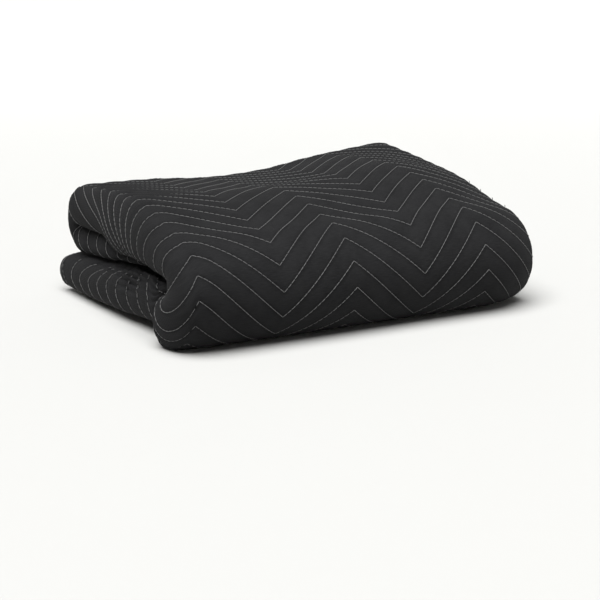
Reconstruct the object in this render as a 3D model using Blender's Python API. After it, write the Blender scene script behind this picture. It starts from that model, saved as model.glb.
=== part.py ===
"""A quilted moving pad, folded as it is stored.

The pad is one padded cloth. Its width is folded in thirds, which gives a strip of three layers,
and the strip is then folded in half and in half again, which gives twelve layers. Each fold is
worked out from the flat pad: a point (u, v) of the cloth goes through the fold in thirds, then
through the fold in quarters, and last through the soft unevenness of the stored pad.

Axes: X runs along the long front roll, Y from the front roll to the back, Z up from the floor.
"""

import math

import bmesh
import bpy

# The flat pad
PAD_WIDTH = 1.829
PAD_LENGTH = 2.032
THICKNESS = 0.010
HEM_THICKNESS = 0.006
HEM_WIDTH = 0.014

# The folds
LAYER_GAP = 0.0025
STRIP_LENGTH = 0.630
LEFT_FLAP_RUN = 0.555
LEFT_FLAP_SLOPE = math.radians(35)
LEFT_FLAP_EASE = 0.015
HEM_OVERHANG = 0.030
LAYER_STEP = THICKNESS + LAYER_GAP
STRIP = 3 * THICKNESS + 2 * LAYER_GAP
STRIP_STEP = STRIP + LAYER_GAP
PILE_HEIGHT = 4 * STRIP + 3 * LAYER_GAP

# The quilting: zigzag rows of stitches along the front. Under the pad the zigzag has no room to
# show, so there the rows of the mesh run straight until they near the front roll.
ZIGZAG_PERIOD = 0.237
ZIGZAG_HEIGHT = 0.106
ZIGZAG_FROM = 0.27
ZIGZAG_EASE = 0.12
ROW_STEP = 0.0371
FIRST_CORNER_X = -0.290
FIRST_ROW = 0.4616
ROWS_UNDER_ROLL = 5
CREST = 0.0014
STITCH_DIP = 0.0009
RELIEF_EASE = 0.04

# Steps of the mesh
ROLL_STEPS = 8
FOLD_STEPS = 5
SLOPE_STEPS = 2
RUN_SHARES = [0.0, 0.07, 0.14, 0.21, 0.50, 1.0]
COLUMNS_PER_PERIOD = 8
END_COLUMNS = 0.13
SAME_PLACE = 1e-6

# How the stored pad departs from an even pile. Each row of the table is one station across the
# width, and its other numbers are the pile's heights from the left end to the right end.
HEIGHT_STATIONS = [
    # y, left end, left half, middle, right half, right end
    (-0.26, 0.150, 0.148, 0.148, 0.150, 0.138),
    (-0.17, 0.156, 0.159, 0.161, 0.167, 0.147),
    (-0.06, 0.180, 0.182, 0.186, 0.196, 0.175),
    (0.06, 0.185, 0.184, 0.184, 0.207, 0.196),
    (0.20, 0.178, 0.181, 0.179, 0.201, 0.221),
]

# The four beads of the strip at the left end, from the floor up. Each row of the table is one
# station from the front roll to the back: the tops of the three lower beads as shares of the
# pile's height, how far each of the four beads stands in, and the share by which the middle of
# the pile is raised. At the roll the outer beads close over the two inner ones in a crease, and
# further back the second bead swells out.
LEFT_BEADS = [
    # y, first top, second top, third top, first in, second in, third in, fourth in, raised
    (-0.184, 0.470, 0.500, 0.530, 0.004, 0.030, 0.032, 0.002, 0.055),
    (-0.160, 0.440, 0.500, 0.535, 0.008, 0.020, 0.026, 0.002, 0.050),
    (-0.110, 0.070, 0.490, 0.550, 0.034, 0.007, 0.020, 0.003, 0.035),
    (0.040, 0.040, 0.460, 0.560, 0.040, 0.001, 0.020, 0.007, 0.010),
    (0.120, 0.030, 0.385, 0.620, 0.045, 0.000, 0.020, 0.012, 0.000),
    (0.240, 0.025, 0.370, 0.650, 0.045, 0.000, 0.020, 0.012, 0.000),
]
LEFT_REACH = 0.16

# The shoulder over the left end: how far it slopes down, and over what length
SHOULDER = 0.012
SHOULDER_REACH = 0.045

# The front roll turns back at its two ends, widely at the right and tightly at the left
CORNER_PULL = 0.050
CORNER_REACH = 0.12
LEFT_CORNER_PULL = 0.012
LEFT_CORNER_REACH = 0.05
CORNER_DEPTH = 0.40

# The ends and the front wander a little: how far, and the waves in radians a metre
END_WANDER = 0.004
END_WAVE = 9.0
END_WAVE_START = 1.3
FRONT_WANDER = 0.002
FRONT_WAVE = 8.0

# The two hems at the back wander, each with its own wave
HEM_WANDER = 0.007
FIRST_HEM_WAVE = 7.0
LAST_HEM_WAVE = 9.0
LAST_HEM_START = 2.0


def smooth(value):
    """Ease a value from 0 to 1."""
    value = min(1.0, max(0.0, value))
    return value * value * (3.0 - 2.0 * value)


def walk(path, place, heading, distance):
    """Follow straight runs and turns for a distance: the point reached and the heading there.

    A part of the path is (length, radius, angle). A straight run has no radius. A turn's length
    is spread evenly over its angle, so that it may be measured on any layer.
    """
    across, up = place
    for length, radius, angle in path:
        share = min(distance, length) / length
        if radius is None:
            across += math.cos(heading) * length * share
            up += math.sin(heading) * length * share
        else:
            side = math.copysign(math.pi / 2, angle)
            centre_across = across + radius * math.cos(heading + side)
            centre_up = up + radius * math.sin(heading + side)
            heading += angle * share
            across = centre_across - radius * math.cos(heading + side)
            up = centre_up - radius * math.sin(heading + side)
        distance -= length
        if distance <= 0:
            break
    return across, up, heading


# The fold in thirds, from the free edge of the left flap to that of the right flap. The left
# flap slopes down into a full bend, because the right flap stops short of it.
END_BEND = LAYER_STEP
LEFT_X = -STRIP_LENGTH / 2 + END_BEND + THICKNESS / 2
RIGHT_X = STRIP_LENGTH / 2 - END_BEND - THICKNESS / 2
MIDDLE_THIRD = RIGHT_X - LEFT_X
EASE_ARC = LEFT_FLAP_EASE * LEFT_FLAP_SLOPE
SLOPE_DROP = END_BEND * math.cos(LEFT_FLAP_SLOPE) - LEFT_FLAP_EASE * (1 - math.cos(LEFT_FLAP_SLOPE))
SLOPE_RUN = SLOPE_DROP / math.sin(LEFT_FLAP_SLOPE)
SLOPE_REACH = (
    (LEFT_FLAP_EASE + END_BEND) * math.sin(LEFT_FLAP_SLOPE) + SLOPE_RUN * math.cos(LEFT_FLAP_SLOPE)
)
LEFT_ARC = END_BEND * (math.pi + LEFT_FLAP_SLOPE)
RIGHT_ARC = END_BEND * math.pi
LEFT_FLAP = LEFT_FLAP_RUN + EASE_ARC + SLOPE_RUN
RIGHT_FLAP = PAD_WIDTH - LEFT_FLAP - LEFT_ARC - MIDDLE_THIRD - RIGHT_ARC
THIRDS = [
    (LEFT_FLAP_RUN, None, 0.0),
    (EASE_ARC, LEFT_FLAP_EASE, LEFT_FLAP_SLOPE),
    (SLOPE_RUN, None, 0.0),
    (LEFT_ARC, END_BEND, -math.pi - LEFT_FLAP_SLOPE),
    (MIDDLE_THIRD, None, 0.0),
    (RIGHT_ARC, END_BEND, -math.pi),
    (RIGHT_FLAP, None, 0.0),
]
LEFT_FLAP_EDGE = LEFT_X + SLOPE_REACH + LEFT_FLAP_RUN
MIDDLE_START = LEFT_FLAP + LEFT_ARC
MIDDLE_END = MIDDLE_START + MIDDLE_THIRD

# The fold in quarters, measured on the strip's outer face
ROLL_RADIUS = (PILE_HEIGHT - STRIP) / 2
FOLD_RADIUS = STRIP_STEP / 2
ROLL_ARC = math.pi * (ROLL_RADIUS + STRIP / 2)
BACK_ARC = math.pi * (FOLD_RADIUS + STRIP / 2)
INNER_ARC = math.pi * (FOLD_RADIUS - STRIP / 2)
RUN = (PAD_LENGTH - ROLL_ARC - BACK_ARC - INNER_ARC - 2 * HEM_OVERHANG) / 4
END_RUN = RUN + HEM_OVERHANG
QUARTERS = [
    (END_RUN, None, 0.0),
    (ROLL_ARC, ROLL_RADIUS, -math.pi),
    (RUN, None, 0.0),
    (BACK_ARC, FOLD_RADIUS, -math.pi),
    (RUN, None, 0.0),
    (INNER_ARC, FOLD_RADIUS, math.pi),
    (END_RUN, None, 0.0),
]
PILE_WIDTH = RUN + ROLL_RADIUS + STRIP / 2 + FOLD_RADIUS + STRIP / 2
ROLL_Y = -PILE_WIDTH / 2 + ROLL_RADIUS + STRIP / 2
ROLL_START = END_RUN
ROLL_END = ROLL_START + ROLL_ARC
TOP_END = ROLL_END + RUN
BACK_END = TOP_END + BACK_ARC
INNER_START = BACK_END + RUN
INNER_END = INNER_START + INNER_ARC


def fold_in_thirds(u, rise):
    """A point of the cloth at u, rise above its middle: its x, and its place across the strip."""
    x, level, heading = walk(THIRDS, (LEFT_FLAP_EDGE, 0.0), math.pi, u)
    return x - rise * math.sin(heading), level + rise * math.cos(heading)


def fold_in_quarters(v, level):
    """A point of the strip at v, level above its middle: its y and z in the pile."""
    y, z, heading = walk(QUARTERS, (ROLL_Y + END_RUN, STRIP / 2), math.pi, v)
    return y - level * math.sin(heading), z + level * math.cos(heading)


def between(stations, place):
    """The two stations on either side of a place, and how far it lies between them."""
    place = min(stations[-1], max(stations[0], place))
    after = next(i for i in range(1, len(stations)) if place <= stations[i])
    start, end = stations[after - 1], stations[after]
    return after - 1, after, smooth((place - start) / (end - start))


def slope_at(stations, values, i):
    """Slope at a station of the smooth curve through all of them."""
    before, after = max(0, i - 1), min(len(stations) - 1, i + 1)
    return (values[after] - values[before]) / (stations[after] - stations[before])


def on_curve(stations, values, place):
    """Value at a place on the smooth curve through the stations' values."""
    place = min(stations[-1], max(stations[0], place))
    after = next(i for i in range(1, len(stations)) if place <= stations[i])
    before = after - 1
    run = stations[after] - stations[before]
    share = (place - stations[before]) / run
    start = values[before] + slope_at(stations, values, before) * run * share
    end = values[after] - slope_at(stations, values, after) * run * (1 - share)
    return start + (end - start) * smooth(share)


HEIGHT_PLACES = [row[0] for row in HEIGHT_STATIONS]
HEIGHT_COUNT = len(HEIGHT_STATIONS[0]) - 1
HEIGHT_ENDS = [STRIP_LENGTH * (i / (HEIGHT_COUNT - 1) - 0.5) for i in range(HEIGHT_COUNT)]


def pile_height(x, y):
    """Height of the stored pile over a point of the floor, between the table's stations."""
    heights = [on_curve(HEIGHT_ENDS, row[1:], x) for row in HEIGHT_STATIONS]
    return on_curve(HEIGHT_PLACES, heights, y)


def at_left_end(x):
    """Share of the left end's beads at a place along the pile."""
    return smooth((-x - STRIP_LENGTH / 2 + LEFT_REACH) / LEFT_REACH)


def left_beads(y):
    """The tops of the beads, how far they stand in, and how far their middle is raised."""
    before, after, share = between([row[0] for row in LEFT_BEADS], y)
    row = [a + (b - a) * share for a, b in zip(LEFT_BEADS[before][1:], LEFT_BEADS[after][1:])]
    return row[:3] + [1.0], row[3:7], row[7]


def bead_shift(v, stands_in):
    """How far the layers at v stand in at the left end, eased from bead to bead."""
    first, second, third, fourth = stands_in
    shift = first + (fourth - first) * smooth((v - ROLL_START) / ROLL_ARC)
    shift += (third - fourth) * smooth((v - TOP_END) / BACK_ARC)
    return shift + (second - third) * smooth((v - INNER_START) / INNER_ARC)


def bead_height(z, tops):
    """Height in the even pile turned into height among the left end's beads."""
    bottom, bottom_share = 0.0, 0.0
    for i, share in enumerate(tops):
        top = (i + 1) * STRIP_STEP - LAYER_GAP / 2
        if z <= top or i == len(tops) - 1:
            break
        bottom, bottom_share = top, share
    top = min(top, PILE_HEIGHT)
    inside = (z - bottom) / (top - bottom)
    return (bottom_share + (share - bottom_share) * inside) * PILE_HEIGHT


def crowd(y, z, tops, share):
    """Crowd the layers at the left end: upward behind the front roll's middle, round it before."""
    if y >= ROLL_Y:
        return y, z + (bead_height(z, tops) - z) * share
    across, up = y - ROLL_Y, z - PILE_HEIGHT / 2
    out = math.hypot(across, up)
    if out < SAME_PLACE:
        return y, z
    crowded = bead_height(PILE_HEIGHT / 2 + out, tops) - PILE_HEIGHT / 2
    scale = 1 + (crowded / out - 1) * share
    return ROLL_Y + across * scale, PILE_HEIGHT / 2 + up * scale


def corner_pull(x, y):
    """How far back the front roll turns at its two ends."""
    right = max(0.0, (x - STRIP_LENGTH / 2 + CORNER_REACH) / CORNER_REACH)
    left = max(0.0, (-x - STRIP_LENGTH / 2 + LEFT_CORNER_REACH) / LEFT_CORNER_REACH)
    from_front = 1.0 - smooth((y + PILE_WIDTH / 2) / CORNER_DEPTH)
    return (CORNER_PULL * right ** 2 + LEFT_CORNER_PULL * left ** 2) * from_front


def settle(x, y, z, v):
    """Turn the even pile into the uneven one that lies on the floor."""
    tops, stands_in, raised = left_beads(y)
    x += bead_shift(v, stands_in) * at_left_end(x)
    y, z = crowd(y, z, tops, at_left_end(x))
    share = z / PILE_HEIGHT
    share += 4 * raised * at_left_end(x) * share * (1 - share)
    slope = smooth((-x - STRIP_LENGTH / 2 + SHOULDER_REACH) / SHOULDER_REACH)
    z = share * pile_height(x, y) - SHOULDER * slope * share ** 2
    x += END_WANDER * math.sin(END_WAVE * y + END_WAVE_START) * share
    return x, y + corner_pull(x, y) + FRONT_WANDER * math.sin(FRONT_WAVE * x), z


def zigzag(u):
    """How far a row of stitches lies from its middle line, with corners at even steps."""
    x = LEFT_X + u - MIDDLE_START
    turn = (x - FIRST_CORNER_X) / ZIGZAG_PERIOD
    triangle = 4.0 * abs(turn - math.floor(turn + 0.5)) - 1.0
    shown = smooth((u - LEFT_FLAP) / LEFT_ARC) * smooth((MIDDLE_END + RIGHT_ARC - u) / RIGHT_ARC)
    return -ZIGZAG_HEIGHT / 2 * triangle * shown


def row_place(u, row):
    """Where a row of the outer face lies on the cloth: the zigzag fades out under and behind."""
    under = smooth((row - ZIGZAG_FROM) / ZIGZAG_EASE)
    behind = smooth((BACK_END - row) / BACK_ARC)
    return row + zigzag(u) * under * behind


def hem_wander(u, v):
    """The hems at the back don't lie exactly over each other."""
    first = 1.0 - smooth(v / END_RUN)
    last = smooth((v - INNER_END) / END_RUN)
    first_wave = math.sin(FIRST_HEM_WAVE * u)
    last_wave = math.sin(LAST_HEM_WAVE * u + LAST_HEM_START)
    return HEM_WANDER * (first * first_wave + last * last_wave)


def cloth_point(u, v, side, relief=0.0):
    """A point of the cloth's outer face (side 1) or inner face (side -1) in the stored pad."""
    edge = min(u, PAD_WIDTH - u, v, PAD_LENGTH - v)
    thickness = HEM_THICKNESS + (THICKNESS - HEM_THICKNESS) * smooth(edge / HEM_WIDTH)
    x, level = fold_in_thirds(u, side * thickness / 2 + relief)
    y, z = fold_in_quarters(v, level)
    if v < ROLL_START or v > INNER_END:
        y += hem_wander(u, v)
    return settle(x, y, z, v)


def stretch(start, end, count):
    """Even steps over a stretch, without its start."""
    return [start + (end - start) * i / count for i in range(1, count + 1)]


def run_rows(front, back):
    """Rows along a straight run of the strip, closer together near the front roll."""
    return [front + (back - front) * share for share in RUN_SHARES]


def plain_rows():
    """Rows that lie over each other in every layer, with a hem at both ends."""
    rows = [0.0, HEM_WIDTH, PAD_LENGTH - HEM_WIDTH, PAD_LENGTH]
    rows += run_rows(ROLL_START, HEM_OVERHANG)
    rows += run_rows(ROLL_END, TOP_END)
    rows += run_rows(INNER_START, BACK_END)
    rows += run_rows(INNER_END, PAD_LENGTH - HEM_OVERHANG)
    rows += stretch(ROLL_START, ROLL_END, ROLL_STEPS)[:-1]
    rows += stretch(TOP_END, BACK_END, FOLD_STEPS)[:-1]
    rows += stretch(INNER_START, INNER_END, FOLD_STEPS)[:-1]
    return sorted(rows)


def stitched_rows():
    """Two rows of the mesh for each row of stitches that shows: in its dip and on its crest."""
    half = ROW_STEP / 2
    return [FIRST_ROW + half * i for i in range(-ROWS_UNDER_ROLL, int((TOP_END - FIRST_ROW) / half))]


def outer_rows():
    """Rows of the outer face where it shows."""
    stitched = stitched_rows()
    clear = ROW_STEP / 4
    plain = [row for row in plain_rows() if row < stitched[0] - clear or row > stitched[-1] + clear]
    return sorted(plain + stitched)


def stations(fine):
    """Places along the middle third where its columns stand: all of them, or fewer in its middle."""
    step = ZIGZAG_PERIOD / COLUMNS_PER_PERIOD
    count = int((RIGHT_X - FIRST_CORNER_X) / step)
    places = []
    for i in range(count + 1):
        x = FIRST_CORNER_X + step * i
        near_end = min(x - LEFT_X, RIGHT_X - x) < END_COLUMNS
        if fine or near_end or i % 2 == 0:
            places.append(x)
    return [x for x in places if x > LEFT_X + step / 4 and x < RIGHT_X - step / 4]


def columns(fine):
    """Columns of a face, over each other in all three layers."""
    slope = LEFT_X + SLOPE_REACH
    flap_stations = [x for x in stations(False) if x > slope]
    left = [LEFT_FLAP_EDGE - x for x in flap_stations if x < LEFT_FLAP_EDGE - 2 * HEM_WIDTH]
    places = [0.0, HEM_WIDTH] + left + [LEFT_FLAP_RUN]
    places += stretch(LEFT_FLAP_RUN, LEFT_FLAP, SLOPE_STEPS)
    places += stretch(LEFT_FLAP, MIDDLE_START, FOLD_STEPS)
    places += [MIDDLE_START + x - LEFT_X for x in stations(fine)] + [MIDDLE_END]
    places += stretch(MIDDLE_END, MIDDLE_END + RIGHT_ARC, FOLD_STEPS)
    right = [PAD_WIDTH - RIGHT_FLAP + RIGHT_X - x for x in flap_stations]
    places += [u for u in right if u < PAD_WIDTH - 2 * HEM_WIDTH]
    return sorted(places + [PAD_WIDTH - HEM_WIDTH, PAD_WIDTH])


def zip_lines(bm, first, second):
    """Fill the band between two lines of (key, vertex) pairs whose steps may differ."""
    i = j = 0
    while i < len(first) - 1 or j < len(second) - 1:
        next_first = first[i + 1][0] if i < len(first) - 1 else math.inf
        next_second = second[j + 1][0] if j < len(second) - 1 else math.inf
        if abs(next_first - next_second) < SAME_PLACE:
            bm.faces.new((first[i][1], second[j][1], second[j + 1][1], first[i + 1][1]))
            i += 1
            j += 1
        elif next_first < next_second:
            bm.faces.new((first[i][1], second[j][1], first[i + 1][1]))
            i += 1
        else:
            bm.faces.new((first[i][1], second[j][1], second[j + 1][1]))
            j += 1


def outer_face(bm):
    """The outer face, as columns of (row, vertex) pairs with the quilting raised on them."""
    stitched = set(stitched_rows())
    lines = []
    for u in columns(True):
        shown = LEFT_FLAP < u < MIDDLE_END + RIGHT_ARC
        line = []
        for row in outer_rows() if shown else plain_rows():
            v = row_place(u, row) if shown else row
            relief = 0.0
            if row in stitched:
                in_dip = round((row - FIRST_ROW) / (ROW_STEP / 2)) % 2 == 0
                relief = (-STITCH_DIP if in_dip else CREST) * smooth((v - ROLL_START) / RELIEF_EASE)
            line.append((row, bm.verts.new(cloth_point(u, v, 1, relief))))
        lines.append((u, line))
    return lines


def inner_face(bm):
    """The inner face, as columns of (row, vertex) pairs."""
    return [
        (u, [(v, bm.verts.new(cloth_point(u, v, -1))) for v in plain_rows()])
        for u in columns(False)
    ]


def edge_line(face, index):
    """The line of (u, vertex) pairs along the first or last row of a face."""
    return [(u, line[index][1]) for u, line in face]


def centre_on_origin(bm):
    """Bring the middle of the pad's box over the origin."""
    for axis in (0, 1):
        places = [vert.co[axis] for vert in bm.verts]
        middle = (min(places) + max(places)) / 2
        for vert in bm.verts:
            vert.co[axis] -= middle


def quilted_pad_mesh():
    """The folded pad as one closed mesh."""
    bm = bmesh.new()
    outer = outer_face(bm)
    inner = inner_face(bm)
    for (_, first), (_, second) in zip(outer, outer[1:]):
        zip_lines(bm, first, second)
    for (_, first), (_, second) in zip(inner, inner[1:]):
        zip_lines(bm, second, first)
    zip_lines(bm, inner[0][1], outer[0][1])
    zip_lines(bm, outer[-1][1], inner[-1][1])
    zip_lines(bm, edge_line(outer, 0), edge_line(inner, 0))
    zip_lines(bm, edge_line(inner, -1), edge_line(outer, -1))
    centre_on_origin(bm)
    bmesh.ops.recalc_face_normals(bm, faces=bm.faces)
    bmesh.ops.triangulate(bm, faces=bm.faces)
    mesh = bpy.data.meshes.new("quilted_pad")
    bm.to_mesh(mesh)
    bm.free()
    return mesh


def cotton_cloth():
    """Black woven cotton and polyester, matt and a little sheeny."""
    material = bpy.data.materials.new("black_quilted_cotton")
    material.use_nodes = True
    shader = material.node_tree.nodes["Principled BSDF"]
    shader.inputs["Base Color"].default_value = (0.012, 0.012, 0.013, 1.0)
    shader.inputs["Roughness"].default_value = 0.9
    shader.inputs["Metallic"].default_value = 0.0
    return material


def clear_scene():
    """Remove what a new scene comes with."""
    for thing in list(bpy.data.objects):
        bpy.data.objects.remove(thing)


def main():
    clear_scene()
    collection = bpy.data.collections.new("moving_pad")
    bpy.context.scene.collection.children.link(collection)
    mesh = quilted_pad_mesh()
    mesh.materials.append(cotton_cloth())
    mesh.shade_smooth()
    collection.objects.link(bpy.data.objects.new("quilted_pad", mesh))


main()
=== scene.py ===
"""A quilted moving pad, folded as it is stored: its padded cover and the stitches that quilt it.

The cover is one padded cloth that is folded in thirds and then in quarters. Every point of it
starts on the flat pad, at u along its width and v along its length, and goes through the fold in
thirds, the fold in quarters and the soft unevenness of the stored pad. The stitches lie on the
flat pad as zigzag rows and go through the same folds.

Axes: X runs along the long front roll, Y from the front roll to the back, Z up from the floor.
"""

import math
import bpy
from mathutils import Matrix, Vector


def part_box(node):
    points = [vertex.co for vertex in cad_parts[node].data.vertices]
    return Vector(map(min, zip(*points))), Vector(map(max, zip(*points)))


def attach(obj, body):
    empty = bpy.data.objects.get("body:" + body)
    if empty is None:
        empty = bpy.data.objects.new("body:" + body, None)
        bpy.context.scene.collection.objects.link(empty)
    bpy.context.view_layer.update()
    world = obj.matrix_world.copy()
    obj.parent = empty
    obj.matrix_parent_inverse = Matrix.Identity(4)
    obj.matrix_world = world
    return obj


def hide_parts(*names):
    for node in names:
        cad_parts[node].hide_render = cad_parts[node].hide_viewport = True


bl_info = {
    "name": "Folded moving pad",
    "version": (1, 0, 0),
    "blender": (4, 5, 0),
    "location": "3D View > Sidebar > Moving pad",
    "description": "Builds a folded, quilted moving pad around its packed frame",
    "category": "Add Mesh",
}

import bmesh
import bpy
from mathutils import Vector

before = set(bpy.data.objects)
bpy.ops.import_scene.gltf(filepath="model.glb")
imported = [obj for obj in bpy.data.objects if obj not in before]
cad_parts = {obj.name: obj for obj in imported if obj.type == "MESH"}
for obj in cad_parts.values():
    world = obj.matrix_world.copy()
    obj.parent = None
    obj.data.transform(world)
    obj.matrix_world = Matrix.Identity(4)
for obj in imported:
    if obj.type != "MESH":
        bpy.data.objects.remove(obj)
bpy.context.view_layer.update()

# The flat pad
PAD_WIDTH = 1.829
PAD_LENGTH = 2.032
THICKNESS = 0.010
HEM_THICKNESS = 0.006
HEM_WIDTH = 0.014

# The folds
LAYER_GAP = 0.0025
STRIP_LENGTH = 0.630
LEFT_FLAP_RUN = 0.555
LEFT_FLAP_SLOPE = math.radians(35)
LEFT_FLAP_EASE = 0.015
HEM_OVERHANG = 0.030
LAYER_STEP = THICKNESS + LAYER_GAP
STRIP = 3 * THICKNESS + 2 * LAYER_GAP
STRIP_STEP = STRIP + LAYER_GAP
PILE_HEIGHT = 4 * STRIP + 3 * LAYER_GAP

# The quilting: zigzag rows of stitches
ZIGZAG_PERIOD = 0.237
ZIGZAG_HEIGHT = 0.106
ROW_STEP = 0.0371
FIRST_CORNER_X = -0.290
FIRST_ROW = 0.4616
ARM_SLOPE = 2 * ZIGZAG_HEIGHT / ZIGZAG_PERIOD
ARM_COSINE = 1 / math.hypot(1, ARM_SLOPE)

# How the stored pad departs from an even pile. Each row of the table is one station from the front
# to the back, and its other numbers are the pile's heights from the left end to the right end.
HEIGHT_STATIONS = [
    # y, left end, left half, middle, right half, right end
    (-0.26, 0.150, 0.148, 0.148, 0.150, 0.138),
    (-0.17, 0.156, 0.159, 0.161, 0.167, 0.147),
    (-0.06, 0.180, 0.182, 0.186, 0.196, 0.175),
    (0.06, 0.185, 0.184, 0.184, 0.207, 0.196),
    (0.20, 0.178, 0.181, 0.179, 0.201, 0.221),
]

# The four beads of the strip at the left end, from the floor up. Each row of the table is one
# station from the front roll to the back: the tops of the three lower beads as shares of the
# pile's height, how far each of the four beads stands in, and the share by which the middle of
# the pile is raised. At the roll the outer beads close over the two inner ones in a crease, and
# further back the second bead swells out.
LEFT_BEADS = [
    # y, first top, second top, third top, first in, second in, third in, fourth in, raised
    (-0.184, 0.470, 0.500, 0.530, -0.013, 0.028, 0.032, 0.000, 0.055),
    (-0.160, 0.440, 0.500, 0.535, -0.004, 0.018, 0.026, 0.002, 0.050),
    (-0.110, 0.070, 0.475, 0.515, 0.034, 0.007, 0.032, 0.003, 0.035),
    (0.040, 0.040, 0.415, 0.480, 0.040, 0.001, 0.028, 0.007, 0.010),
    (0.120, 0.030, 0.370, 0.600, 0.045, 0.000, 0.022, 0.012, 0.000),
    (0.240, 0.025, 0.350, 0.630, 0.045, 0.000, 0.020, 0.012, 0.000),
]
LEFT_REACH = 0.16

# The shoulder over the left end: how far it slopes down, and over what length
SHOULDER = 0.012
SHOULDER_REACH = 0.045

# The crease nips the cloth of the left end, which slides along the strip towards it. Each row of
# the first table is one row of stitches over the roll and the top, counted from the lowest on the
# roll: how far it slides, and over what length of cloth. Each row of the second table is one place
# along the bead under the crease, from the roll's middle, and how far its upper side slides.
SLIDES = [
    # row, slide, ease
    (-5, 0.000, 0.050),
    (0, -0.078, 0.036),
    (1, -0.088, 0.036),
    (2, -0.084, 0.044),
    (3, -0.090, 0.080),
    (4, 0.050, 0.050),
    (6, 0.062, 0.050),
    (8, 0.033, 0.050),
    (10, -0.020, 0.050),
    (12, -0.085, 0.050),
    (15, -0.170, 0.055),
    (18, 0.000, 0.050),
]
LOWER_SLIDES = [
    # place, slide
    (0.000, 0.000),
    (0.050, 0.030),
    (0.140, 0.000),
    (0.230, -0.055),
    (0.330, -0.090),
    (0.420, 0.000),
]

# Over what length the lower bead's slide rises and falls, how far before the bend the others start,
# and over what length they fade on the hidden flap
LOWER_SLIDE_EASE = 0.028
SLIDE_STARTS = 0.0075
SLIDE_FADES = 0.10

# The front roll turns back at its two ends, widely at the right and tightly at the left
CORNER_PULL = 0.050
CORNER_REACH = 0.12
LEFT_CORNER_PULL = 0.012
LEFT_CORNER_REACH = 0.05
CORNER_DEPTH = 0.40

# The ends and the front wander a little: how far, and the waves in radians a metre
END_WANDER = 0.004
END_WAVE = 9.0
END_WAVE_START = 1.3
FRONT_WANDER = 0.002
FRONT_WAVE = 8.0

# The two hems at the back wander, each with its own wave
HEM_WANDER = 0.007
FIRST_HEM_WAVE = 7.0
LAST_HEM_WAVE = 9.0
LAST_HEM_START = 2.0

# The relief of the quilting: the pull of a stitch, how fast it rises beside it, the padding, over
# what length the relief starts on the roll, and how far it goes round a bead
STITCH_PULL = 0.0007
PULL_REACH = 0.0030
PADDING_CREST = 0.0006
RELIEF_EASE = 0.04
BEAD_SHOWS = 0.030

# Gathers where the crease at the left end nips the cloth. Each row of the table is one bunch: its
# middle, how far it spreads along and up, the spacing of its folds on the flat cloth, how they
# slant and their depth.
GATHERS = [
    # y, z, spread along, spread up, spacing, slant, depth
    (-0.030, 0.072, 0.045, 0.020, 0.0052, 0.06, 0.0060),
    (-0.125, 0.070, 0.032, 0.020, 0.0048, 0.10, 0.0055),
    (0.070, 0.080, 0.040, 0.022, 0.0070, 0.12, 0.0030),
]

# Where the gathers start and over what length, and how high over the floor the relief is whole
GATHERS_FROM_X = -0.255
GATHERS_EASE = 0.025
FLOOR_EASE = 0.008

# Places of the mesh's rows between two rows of stitches, as shares of the step
ROW_SHARES = [0.0, 0.05, 0.13, 0.30, 0.50, 0.70, 0.87, 0.95]

# How finely the mesh is divided, and over what lengths its rows turn from straight to zigzag
ROW_EASE = 0.10
FLAP_EASE = 0.07
HIDDEN_ROWS = 0.05
COLUMNS_PER_PERIOD = 40
COARSE_COLUMNS = 4
COARSE_BEND = 2
SLOPE_STEPS = 4
ROLL_STEPS = 20
LEFT_BEND_STEPS = 60
RIGHT_BEND_STEPS = 12
PLAIN_ROW = 0.020
FLAP_COLUMN = 0.030
NEAR_COLUMN = 0.010
FOLD_STEPS = 8
SAME_PLACE = 1e-6

COVER = "quilted_cover"
CLOTH_MAP = "cloth"


def smooth(value):
    """Ease a value from 0 to 1."""
    value = min(1.0, max(0.0, value))
    return value * value * (3.0 - 2.0 * value)


def walk(path, place, heading, distance):
    """Follow straight runs and turns for a distance: the point reached and the heading there.

    A part of the path is (length, radius, angle). A straight run has no radius. A turn's length
    is spread evenly over its angle, so that it may be measured on any layer.
    """
    across, up = place
    for length, radius, angle in path:
        share = min(distance, length) / length
        if radius is None:
            across += math.cos(heading) * length * share
            up += math.sin(heading) * length * share
        else:
            side = math.copysign(math.pi / 2, angle)
            centre_across = across + radius * math.cos(heading + side)
            centre_up = up + radius * math.sin(heading + side)
            heading += angle * share
            across = centre_across - radius * math.cos(heading + side)
            up = centre_up - radius * math.sin(heading + side)
        distance -= length
        if distance <= 0:
            break
    return across, up, heading


# The fold in thirds, from the free edge of the left flap to that of the right flap. The left
# flap slopes down into a full bend, because the right flap stops short of it.
END_BEND = LAYER_STEP
LEFT_X = -STRIP_LENGTH / 2 + END_BEND + THICKNESS / 2
RIGHT_X = STRIP_LENGTH / 2 - END_BEND - THICKNESS / 2
MIDDLE_THIRD = RIGHT_X - LEFT_X
EASE_ARC = LEFT_FLAP_EASE * LEFT_FLAP_SLOPE
SLOPE_DROP = END_BEND * math.cos(LEFT_FLAP_SLOPE) - LEFT_FLAP_EASE * (1 - math.cos(LEFT_FLAP_SLOPE))
SLOPE_RUN = SLOPE_DROP / math.sin(LEFT_FLAP_SLOPE)
SLOPE_REACH = (
    (LEFT_FLAP_EASE + END_BEND) * math.sin(LEFT_FLAP_SLOPE) + SLOPE_RUN * math.cos(LEFT_FLAP_SLOPE)
)
LEFT_ARC = END_BEND * (math.pi + LEFT_FLAP_SLOPE)
RIGHT_ARC = END_BEND * math.pi
LEFT_FLAP = LEFT_FLAP_RUN + EASE_ARC + SLOPE_RUN
RIGHT_FLAP = PAD_WIDTH - LEFT_FLAP - LEFT_ARC - MIDDLE_THIRD - RIGHT_ARC
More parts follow.
